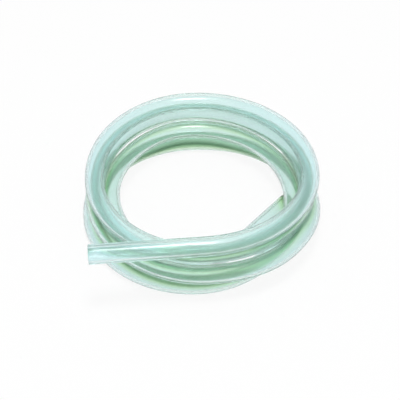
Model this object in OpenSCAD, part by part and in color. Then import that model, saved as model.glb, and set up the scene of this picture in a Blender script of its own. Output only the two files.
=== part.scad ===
// A loose coil of soft silicone tubing, lying flat.
// One length of tubing, hollow from end to end, winds down from a straight top end
// that crosses the coil, through four turns, to a straight end tucked in at the bottom.
// +X runs along the top end towards the coil, +Z is up, and the coil rests on z = 0.

/* [Tubing] */
// Outside diameter of the tubing
tube_d = 9; // [8:0.5:12]
// Diameter of its bore
bore_d = 6; // [3:0.5:7]

/* [Coil] */
// Radius of the coil, to the middle of the tubing
coil_r = 52; // [48:1:80]
// Straight length of the top end, which crosses the coil
top_end = 52; // [30:1:60]
// Straight length of the bottom end, which lies inside the coil
low_end = 34; // [20:1:38]

/* [Facets] */
// Sides of the tubing where it bends
sides = 16; // [8:1:16]
// Rings of facets in each quarter turn
rings = 8; // [6:2:10]

/* [Hidden] */

// How the turns lie, from the top end down. Each row is one place along the coil:
// quarter turns from the start, then how far out of the coil's radius it lies and how
// high its middle is, both in tube diameters. Whole quarters are the front, right,
// back and left, and turns that lie one above another are about one diameter apart.
lay = [
    [0, -0.15, 3.6], [1, 0.3, 3.4], [2, 0.55, 3.25], [3, -0.35, 3.05],
    [4, -0.6, 2.6], [5, 0.25, 2.35], [5.5, 0.62, 2.22], [6, 0.95, 2.15],
    [7, -0.3, 2], [8, -0.1, 1.6], [8.5, 0.35, 1.6], [9, 0.5, 1.05],
    [9.5, 0.35, 0.7], [10, 0.2, 0.5], [10.5, 0.2, 0.5], [11, -0.05, 0.5],
    [12, -0.45, 0.5], [12.5, -0.6, 0.65], [13, -0.5, 1.55], [14, 0.05, 1.6],
    [14.5, -0.5, 1.4], [15, -1.2, 1.1], [15.5, -1.75, 0.75], [16, -2.2, 0.5],
    [16.5, -2.35, 0.5]
];

// The bends stay this far inside the walls of the straight ends, and run this far into
// them, so that each end joins the bends through its whole wall.
seam = 0.05;
overlap = 2;
end_sides = 64;
outer_r = tube_d / 2 - seam;
inner_r = (bore_d / 2 + seam) / cos(180 / sides);

// Slope at a place where the slopes before and after it are a and b. It is level at each
// highest and lowest place, so the curve never overshoots a row of the lay.
function slope(a, b) = a * b <= 0 ? 0 : 2 * a * b / (a + b);

// Rise of column c of the lay for each quarter turn, over the stretch after row i
function rise(i, c) = (lay[i + 1][c] - lay[i][c]) / (lay[i + 1][0] - lay[i][0]);

// The same at row i itself
function row_slope(i, c) = i == 0 || i == len(lay) - 1 ? 0 : slope(rise(i - 1, c), rise(i, c));

// Column c of the lay at the fraction u of the stretch after row i, as a smooth curve
function blend(i, c, u) =
    let (span = lay[i + 1][0] - lay[i][0])
    lay[i][c] * (1 - u) * (1 - u) * (1 + 2 * u) + lay[i + 1][c] * u * u * (3 - 2 * u)
    + span * u * (1 - u) * (row_slope(i, c) * (1 - u) - row_slope(i + 1, c) * u);

// Middle of the tubing at the fraction u of the stretch after row i
function place(i, u) =
    let (
        quarter = lay[i][0] * (1 - u) + lay[i + 1][0] * u,
        turned = 90 * (quarter - 1),
        r = coil_r + tube_d * blend(i, 1, u)
    )
    [r * cos(turned), r * sin(turned), tube_d * blend(i, 2, u)];

// The bends' middle line, then the same with a short straight lead into each end
last = len(lay) - 1;
bends = [
    for (i = [0 : last - 1])
        let (steps = rings * (lay[i + 1][0] - lay[i][0]))
        for (k = [0 : steps - 1]) place(i, k / steps),
    place(last - 1, 1)
];
low_turn = 90 * lay[last][0];
top_way = [-1, 0, 0];
low_way = [cos(low_turn), sin(low_turn), 0];
top_start = bends[0];
low_start = bends[len(bends) - 1];
path = concat([top_start + overlap * top_way], bends, [low_start + overlap * low_way]);

// Middle of the coil's outline seen from above, which the origin lies under
xs = [for (p = bends) p.x];
ys = [for (p = bends) p.y];
left = min(min(xs) - outer_r, top_start.x - top_end);
middle = [(left + max(xs) + outer_r) / 2, (min(ys) + max(ys)) / 2, 0];

// Unit vector along v
function unit(v) = v / norm(v);

// Direction of the tubing at point k of the path
function way(k) =
    k <= 1 ? -top_way
    : k >= len(path) - 2 ? low_way
    : unit(path[k + 1] - path[k - 1]);

// Ring of radius r around point k of the path, square to the tubing
function ring(k, r) =
    let (
        along = way(k),
        side = unit(cross([0, 0, 1], along)),
        up = cross(along, side)
    )
    [for (s = [0 : sides - 1]) path[k] + r * (cos(360 * s / sides) * side + sin(360 * s / sides) * up)];

// Faces between ring k and the next, in a list of points that starts at first. The order
// of each face's corners turns the surface outwards, or inwards where inside is true.
function band(k, first, inside) = [
    for (s = [0 : sides - 1])
        let (
            a = first + k * sides + s,
            b = first + k * sides + (s + 1) % sides,
            quad = [a, b, b + sides, a + sides]
        )
        inside ? quad : [quad[3], quad[2], quad[1], quad[0]]
];

// The bent tubing, with its bore
module bent_tube() {
    count = len(path);
    bore = count * sides;
    points = [
        for (r = [outer_r, inner_r]) for (k = [0 : count - 1]) each ring(k, r)
    ];
    mouths = [
        for (s = [0 : sides - 1])
            let (t = (s + 1) % sides, far = (count - 1) * sides)
            each [
                [s, t, bore + t, bore + s],
                [bore + far + s, bore + far + t, far + t, far + s]
            ]
    ];
    walls = [
        for (k = [0 : count - 2]) each concat(band(k, 0, false), band(k, bore, true))
    ];
    polyhedron(points, concat(walls, mouths), convexity = 12);
}

// A straight, square-cut end of tubing that runs from start for a length, turned about Z
module straight_end(start, length, turn) {
    translate(start) rotate([0, 90, turn]) difference() {
        cylinder(h = length, d = tube_d, $fn = end_sides);
        translate([0, 0, -1]) cylinder(h = length + 2, d = bore_d, $fn = end_sides);
    }
}

module tube() {
    color([0.7, 0.89, 0.86]) translate(-middle) union() {
        bent_tube();
        straight_end(top_start, top_end, 180);
        straight_end(low_start, low_end, low_turn);
    }
}

tube();
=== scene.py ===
import math

import bpy
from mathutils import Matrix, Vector
from mathutils.kdtree import KDTree


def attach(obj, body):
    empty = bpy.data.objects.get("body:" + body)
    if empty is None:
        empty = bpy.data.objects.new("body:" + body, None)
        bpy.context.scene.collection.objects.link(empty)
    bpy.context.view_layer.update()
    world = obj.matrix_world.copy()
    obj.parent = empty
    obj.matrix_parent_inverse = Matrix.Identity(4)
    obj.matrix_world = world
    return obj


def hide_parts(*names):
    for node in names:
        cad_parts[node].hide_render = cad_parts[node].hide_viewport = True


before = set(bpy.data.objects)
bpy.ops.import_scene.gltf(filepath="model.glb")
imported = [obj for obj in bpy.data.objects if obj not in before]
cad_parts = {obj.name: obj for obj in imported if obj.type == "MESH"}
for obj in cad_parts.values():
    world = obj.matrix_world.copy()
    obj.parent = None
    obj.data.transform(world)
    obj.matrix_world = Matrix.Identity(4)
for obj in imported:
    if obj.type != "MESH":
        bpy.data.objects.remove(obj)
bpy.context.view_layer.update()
scene = bpy.context.scene
scene.view_settings.view_transform = "Standard"


class Link:
    # an output socket that takes +, -, * and / and adds the Math nodes for them
    def __init__(self, tree, socket):
        self.tree = tree
        self.socket = socket

    def math(self, operation, first, second):
        return self.tree.add("ShaderNodeMath", {"operation": operation}, {0: first, 1: second})

    def __add__(self, other):
        return self.math("ADD", self, other)

    def __radd__(self, other):
        return self.math("ADD", other, self)

    def __sub__(self, other):
        return self.math("SUBTRACT", self, other)

    def __rsub__(self, other):
        return self.math("SUBTRACT", other, self)

    def __mul__(self, other):
        return self.math("MULTIPLY", self, other)

    def __rmul__(self, other):
        return self.math("MULTIPLY", other, self)

    def __truediv__(self, other):
        return self.math("DIVIDE", self, other)

    def __rtruediv__(self, other):
        return self.math("DIVIDE", other, self)


class Shader:
    # the emptied node tree of a material or world
    def __init__(self, owner):
        owner.use_nodes = True
        self.nodes = owner.node_tree.nodes
        self.links = owner.node_tree.links
        self.nodes.clear()

    def add(self, kind, settings, sockets, out=0):
        # any node: its settings first, then values or links for its sockets, by name or number
        node = self.nodes.new(kind)
        for key, value in settings.items():
            if key == "stops":
                self.setStops(node.color_ramp.elements, value)
            else:
                setattr(node, key, value)
        for key, value in sockets.items():
            if isinstance(value, Link):
                self.links.new(value.socket, node.inputs[key])
            else:
                node.inputs[key].default_value = value
        return Link(self, node.outputs[out]) if node.outputs else node

    def setStops(self, elements, stops):
        while len(elements) < len(stops):
            elements.new(1.0)
        for element, (position, colour) in zip(elements, stops):
            element.position = position
            element.color = colour

    def mixColour(self, factor, first, second, blend="MIX"):
        settings = {"data_type": "RGBA", "blend_type": blend}
        return self.add("ShaderNodeMix", settings, {0: factor, 6: first, 7: second}, out=2)


coil = {
    "tubeWidth": 0.009,  # outside diameter of the tubing
    "boreWidth": 0.006,  # its bore
    "radius": 0.052,  # of the coil, to the middle of the tubing
    "topEnd": 0.052,  # straight length of the top end
    "lowEnd": 0.034,  # and of the bottom end
    "ringsPerQuarter": 60,  # of the bends
    "endGap": 0.003,  # between rings of the straight ends, at most
    "sides": 44,  # round the tubing
    "rim": 0.00022,  # rounding of the cut edges
    "rimSteps": 4,
    # how the turns lie, from the top end down: quarter turns from the start, then how far out
    # of the coil's radius and how high the middle of the tubing lies, in tube widths
    "lay": [
        (0, -0.15, 3.6), (1, 0.3, 3.4), (2, 0.55, 3.25), (3, -0.35, 3.05),
        (4, -0.6, 2.6), (5, 0.25, 2.35), (5.5, 0.62, 2.22), (6, 0.95, 2.15),
        (7, -0.3, 2), (8, -0.1, 1.6), (8.5, 0.35, 1.6), (9, 0.5, 1.05),
        (9.5, 0.35, 0.7), (10, 0.2, 0.5), (10.5, 0.2, 0.5), (11, -0.05, 0.5),
        (12, -0.45, 0.5), (12.5, -0.6, 0.65), (13, -0.5, 1.55), (14, 0.05, 1.6),
        (14.5, -0.5, 1.4), (15, -1.2, 1.1), (15.5, -1.75, 0.75), (16, -2.2, 0.5),
        (16.5, -2.35, 0.5),
    ],
}


def rowSlope(rows, index, column):
    # level at each highest and lowest row, so the line never overshoots
    if index in (0, len(rows) - 1):
        return 0.0
    before, here, after = rows[index - 1], rows[index], rows[index + 1]
    a = (here[column] - before[column]) / (here[0] - before[0])
    b = (after[column] - here[column]) / (after[0] - here[0])
    return 0.0 if a * b <= 0 else 2 * a * b / (a + b)


def blendRows(rows, index, column, u):
    # the column at the fraction u of the stretch after a row, as a smooth curve
    span = rows[index + 1][0] - rows[index][0]
    start, end = rows[index][column], rows[index + 1][column]
    lean = rowSlope(rows, index, column) * (1 - u) - rowSlope(rows, index + 1, column) * u
    return start * (1 - u) ** 2 * (1 + 2 * u) + end * u ** 2 * (3 - 2 * u) + span * u * (1 - u) * lean


def coilLine():
    rows = coil["lay"]
    line = []
    for index in range(len(rows) - 1):
        steps = round(coil["ringsPerQuarter"] * (rows[index + 1][0] - rows[index][0]))
        isLast = index == len(rows) - 2
        for step in range(steps + isLast):  # only the last stretch has its end point too
            u = step / steps
            quarter = rows[index][0] * (1 - u) + rows[index + 1][0] * u
            turned = math.radians(90 * (quarter - 1))
            r = coil["radius"] + coil["tubeWidth"] * blendRows(rows, index, 1, u)
            z = coil["tubeWidth"] * blendRows(rows, index, 2, u)
            line.append(Vector((r * math.cos(turned), r * math.sin(turned), z)))
    return line


def wholeLine():
    # the coil with its straight ends, moved so that its outline is centred on the origin
    bends = coilLine()
    lowTurn = math.radians(90 * coil["lay"][-1][0])
    topWay = Vector((-1, 0, 0))
    lowWay = Vector((math.cos(lowTurn), math.sin(lowTurn), 0))
    topSteps = math.ceil(coil["topEnd"] / coil["endGap"])
    lowSteps = math.ceil(coil["lowEnd"] / coil["endGap"])
    top = [bends[0] + topWay * coil["topEnd"] * (1 - k / topSteps) for k in range(topSteps)]
    low = [bends[-1] + lowWay * coil["lowEnd"] * (k + 1) / lowSteps for k in range(lowSteps)]
    half = coil["tubeWidth"] / 2
    xs = [p.x for p in bends]
    ys = [p.y for p in bends]
    left = min(min(xs) - half, bends[0].x - coil["topEnd"])
    middle = Vector(((left + max(xs) + half) / 2, (min(ys) + max(ys)) / 2, 0))
    return [p - middle for p in top + bends + low]


view = {
    "turn": -95.4,  # degrees round from +X
    "height": 43.7,  # degrees above the floor
    "distance": 0.468,  # from the point aimed at
    "aim": (-0.001125, -0.009675, 0.0171),
    "lens": 86.8,
    "nearest": 0.01,  # what lies nearer than this isn't drawn
}


def addCamera():
    turn, height = math.radians(view["turn"]), math.radians(view["height"])
    away = Vector((
        math.cos(turn) * math.cos(height),
        math.sin(turn) * math.cos(height),
        math.sin(height),
    ))
    camera = bpy.data.objects.new("camera", bpy.data.cameras.new("camera"))
    camera.data.lens = view["lens"]
    camera.data.clip_start = view["nearest"]
    camera.location = Vector(view["aim"]) + away * view["distance"]
    camera.rotation_euler = (-away).to_track_quat("-Z", "Y").to_euler()
    scene.collection.objects.link(camera)
    scene.camera = camera
    print("camera placed")


def ringFrames(line):
    # each point of the line with the way along it, across it level, and across it upwards
    frames = []
    for index, point in enumerate(line):
        before = line[max(index - 1, 0)]
        after = line[min(index + 1, len(line) - 1)]
        along = (after - before).normalized()
        side = Vector((0, 0, 1)).cross(along).normalized()
        frames.append((point, along, side, along.cross(side)))
    return frames


def sweptRings(last, outer, inner):
    # each ring's point on the line, radius and shift along the line: over the first cut end,
    # along the outside, over the other end and back through the bore
    rim, steps = coil["rim"], coil["rimSteps"]

    def corner(index, radius, inward, outward):
        # the rounded edge of a cut end, from its flat face to the wall
        for step in range(steps + 1):
            angle = math.pi / 2 * step / steps
            shrink = outward * rim * (1 - math.sin(angle))
            yield (index, radius - shrink, inward * rim * (1 - math.cos(angle)))

    rings = list(corner(0, outer, 1, 1))
    rings += [(index, outer, 0.0) for index in range(1, last)]
    rings += reversed(list(corner(last, outer, -1, 1)))
    rings += corner(last, inner, -1, -1)
    rings += [(index, inner, 0.0) for index in range(last - 1, 0, -1)]
    rings += reversed(list(corner(0, inner, 1, -1)))
    return rings


def shadeUnder(line, travelled, points, places):
    # how close over each point another turn lies, from 0 in the open to 1 where they touch, and
    # how much that counts: all of it on the coil's outside, and less higher up on its inside
    width = coil["tubeWidth"]
    near, far = tubing["shadeOutside"] * width, tubing["shadeInside"] * width
    tree = KDTree(len(line))
    for index, point in enumerate(line):
        tree.insert(point, index)
    tree.balance()
    shades, shares = [], []
    for point, place in zip(points, places):
        off = point - line[place]
        outward = off.xy.dot(line[place].xy.normalized()) / off.length
        inside = (1 - outward) / 2
        reach = near + (far - near) * inside
        # how near the points of other turns are, times how nearly they lie straight above
        over = [0.0] + [
            (reach - distance) / (reach - width / 2) * (line[index].z - point.z) / distance
            for _, index, distance in tree.find_range(point, reach)
            if abs(travelled[index] - travelled[place]) > tubing["shadeApart"] * width
        ]
        shades.append(min(max(over), 1.0))
        fade = (tubing["shadeNone"] - point.z) / (tubing["shadeNone"] - tubing["shadeWhole"])
        shares.append(1 + (min(max(fade, 0.0), 1.0) - 1) * inside)
    return shades, shares


def tubeMesh(line):
    # the outside, bore and cut ends as one closed surface, with the length of the tubing
    outer, inner = coil["tubeWidth"] / 2, coil["boreWidth"] / 2
    sides = coil["sides"]
    frames = ringFrames(line)
    rings = sweptRings(len(frames) - 1, outer, inner)
    travelled = [0.0]
    for before, after in zip(line, line[1:]):
        travelled.append(travelled[-1] + (after - before).length)
    points, lengths, depths, places = [], [], [], []
    for index, radius, shift in rings:
        point, along, side, up = frames[index]
        for s in range(sides):
            angle = 2 * math.pi * s / sides
            around = math.cos(angle) * side + math.sin(angle) * up
            points.append(point + along * shift + radius * around)
            lengths.append(travelled[index] + shift)
            depths.append((radius - inner) / (outer - inner))
            places.append(index)
    faces = []
    for k in range(len(rings)):
        for s in range(sides):
            t = (s + 1) % sides
            a, b = k * sides, (k + 1) % len(rings) * sides
            faces.append((a + s, a + t, b + t, b + s))
    mesh = bpy.data.meshes.new("siliconeTubing")
    mesh.from_pydata(points, [], faces)
    layer = mesh.uv_layers.new(name="tubingMap")  # u round the tubing, v along it in metres
    for face in mesh.polygons:
        s = face.index % sides
        for loop, corner in zip(face.loop_indices, (0, 1, 1, 0)):
            vertex = mesh.loops[loop].vertex_index
            layer.data[loop].uv = ((s + corner) / sides, lengths[vertex])
    wall = mesh.attributes.new("wall", "FLOAT", "POINT")  # 0 in the bore, 1 on the outside
    wall.data.foreach_set("value", depths)
    for name, values in zip(("shade", "shadeShare"), shadeUnder(line, travelled, points, places)):
        mesh.attributes.new(name, "FLOAT", "POINT").data.foreach_set("value", values)
    mesh.shade_smooth()
    mesh.update()
    return mesh, travelled[-1]


tubing = {
    "outside": (0.93, 0.985, 0.955, 1),  # almost clear, with a breath of mint
    "outsideBlueSheen": (0.90, 0.985, 1.0, 1),  # painted bluish sheen: the same, a little bluer, at the coil's left and right
    "bore": (0.83, 0.985, 1.0, 1),  # cooler
    "clouds": (0.94, 0.99, 0.97, 1),  # slow, paler patches
    # these multiply the colours above: from the open, through the green shade under another
    # turn, to where the two touch
    "shadeTints": [
        (0.0, (1, 1, 1, 1)),
        (0.3, (0.955, 0.98, 0.92, 1)),
        (0.5, (0.71, 0.86, 0.57, 1)),
        (0.65, (0.13, 0.25, 0.13, 1)),
        (0.8, (0.56, 0.74, 0.54, 1)),
        (1.0, (0.975, 0.98, 0.97, 1)),
    ],
    "shadeWhole": 0.00875,  # height up to which that shade is whole on the coil's inside
    "shadeNone": 0.02125,  # and from which there is none
    "shadeOutside": 1.25,  # how far it reaches on the coil's outside, in tube widths
    "shadeInside": 1.9,  # and on its inside
    "shadeApart": 3.0,  # tube widths along the tubing within which it doesn't shade itself
    "cloudShare": 0.5,  # share of the clouds' tint where they are thickest
    "cloudScale": 45.0,
    "clear": 0.94,  # how much light passes straight through, past the faint milkiness
    "refraction": 1.41,
    "gloss": 0.12,  # roughness
    "glossChange": 0.10,  # what the clouds add to it
    "depth": 26.0,  # how strongly the wall's thickness colours the light, per metre
    "depthColour": (0.05, 0.92, 0.93, 1),
    "waves": 0.18,  # slow unevenness of the pulled surface
    "waveScale": 90.0,
    "waveHeight": 0.001,
    "grain": 0.04,  # and fine unevenness
    "grainScale": 700.0,
    "grainHeight": 0.0002,
    "detail": 2.0,  # of the clouds, waves and grain
}


def siliconeMaterial():
    material = bpy.data.materials.new("clearSilicone")
    shader = Shader(material)
    wall, shade, shadeShare = (
        shader.add("ShaderNodeAttribute", {"attribute_name": name}, {}, out="Fac")
        for name in ("wall", "shade", "shadeShare")
    )
    place = shader.add("ShaderNodeTexCoord", {}, {}, out="Object")
    clouds, waves, grain = (
        shader.add("ShaderNodeTexNoise", {}, {"Vector": place, "Scale": scale, "Detail": tubing["detail"]})
        for scale in (tubing["cloudScale"], tubing["waveScale"], tubing["grainScale"])
    )
    across = shader.add("ShaderNodeSeparateXYZ", {}, {0: place}, out="X") / coil["radius"]
    # the coil's left and right get a painted bluish sheen
    outside = shader.mixColour(across * across, tubing["outside"], tubing["outsideBlueSheen"])
    colour = shader.mixColour(wall, tubing["bore"], outside)
    colour = shader.mixColour(clouds * tubing["cloudShare"], colour, tubing["clouds"])
    tint = shader.add("ShaderNodeValToRGB", {"stops": tubing["shadeTints"]}, {"Fac": shade})
    colour = shader.mixColour(shadeShare, colour, tint, "MULTIPLY")
    uneven = shader.add("ShaderNodeBump", {}, {
        "Strength": tubing["waves"],
        "Distance": tubing["waveHeight"],
        "Height": waves,
    })
    bumps = shader.add("ShaderNodeBump", {}, {
        "Strength": tubing["grain"],
        "Distance": tubing["grainHeight"],
        "Height": grain,
        "Normal": uneven,
    })
    surface = shader.add("ShaderNodeBsdfPrincipled", {}, {
        "Base Color": colour,
        "Roughness": tubing["gloss"] + tubing["glossChange"] * clouds,
        "IOR": tubing["refraction"],
        "Transmission Weight": tubing["clear"],
        "Normal": bumps,
    })
    inside = shader.add("ShaderNodeVolumeAbsorption", {}, {
        "Color": tubing["depthColour"],
        "Density": tubing["depth"],
    })
    shader.add("ShaderNodeOutputMaterial", {}, {"Surface": surface, "Volume": inside})
    return material


def addTubing():
    line = wholeLine()
    mesh, length = tubeMesh(line)
    piece = bpy.data.objects.new("siliconeTubing", mesh)
    scene.collection.objects.link(piece)
    mesh.materials.append(siliconeMaterial())
    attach(piece, "root")
    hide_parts("tube")
    print("tubing made,", round(length, 3), "m long")


studio = {
    "floorSize": 6.0,
    "floorColour": (0.93, 0.93, 0.93, 1),
    "floorGlow": 0.9,  # share of plain white that is seen on the floor, over its lit colour
    "skyLight": 0.6,  # light that the sky casts, though it is seen as plain white
    "lampPower": 2.6,
    "lampSize": 0.2,
    "lampPlace": (0.0, -0.10, 0.75),
    "bounces": 40,  # light crosses four walls in each turn that it passes through
}


def seenMask(shader):
    # 1 for what is seen, straight, in a reflection or through the tubing, and 0 for light cast
    camera, glossy, through = (
        shader.add("ShaderNodeLightPath", {}, {}, out=name)
        for name in ("Is Camera Ray", "Is Glossy Ray", "Is Transmission Ray")
    )
    return camera + shader.add("ShaderNodeMath", {"operation": "MAXIMUM"}, {0: glossy, 1: through})


def floorMaterial():
    material = bpy.data.materials.new("paleFloor")
    shader = Shader(material)
    lit = shader.add("ShaderNodeBsdfDiffuse", {}, {"Color": studio["floorColour"]})
    white = shader.add("ShaderNodeEmission", {}, {"Color": (1, 1, 1, 1), "Strength": 1.0})
    share = seenMask(shader) * studio["floorGlow"]
    surface = shader.add("ShaderNodeMixShader", {}, {0: share, 1: lit, 2: white})
    shader.add("ShaderNodeOutputMaterial", {}, {"Surface": surface})
    return material


def addFloor():
    half = studio["floorSize"] / 2
    corners = [(-half, -half, 0), (half, -half, 0), (half, half, 0), (-half, half, 0)]
    mesh = bpy.data.meshes.new("floor")
    mesh.from_pydata(corners, [], [(0, 1, 2, 3)])
    mesh.materials.append(floorMaterial())
    floor = bpy.data.objects.new("floor", mesh)
    scene.collection.objects.link(floor)
    print("floor laid")


def addLight():
    light = bpy.data.lights.new("topLamp", "AREA")
    light.shape = "DISK"
    light.size = studio["lampSize"]
    light.energy = studio["lampPower"]
    lamp = bpy.data.objects.new("topLamp", light)
    lamp.location = studio["lampPlace"]
    lamp.rotation_euler = Vector(studio["lampPlace"]).to_track_quat("Z", "Y").to_euler()
    scene.collection.objects.link(lamp)
    scene.world = bpy.data.worlds.new("sky")
    shader = Shader(scene.world)
    seen = seenMask(shader)
    strength = seen + (1 - seen) * studio["skyLight"]
    sky = shader.add("ShaderNodeBackground", {}, {"Color": (1, 1, 1, 1), "Strength": strength})
    shader.add("ShaderNodeOutputWorld", {}, {"Surface": sky})
    scene.cycles.max_bounces = studio["bounces"]
    scene.cycles.transmission_bounces = studio["bounces"]
    print("light set")


addCamera()
addTubing()
addFloor()
addLight()
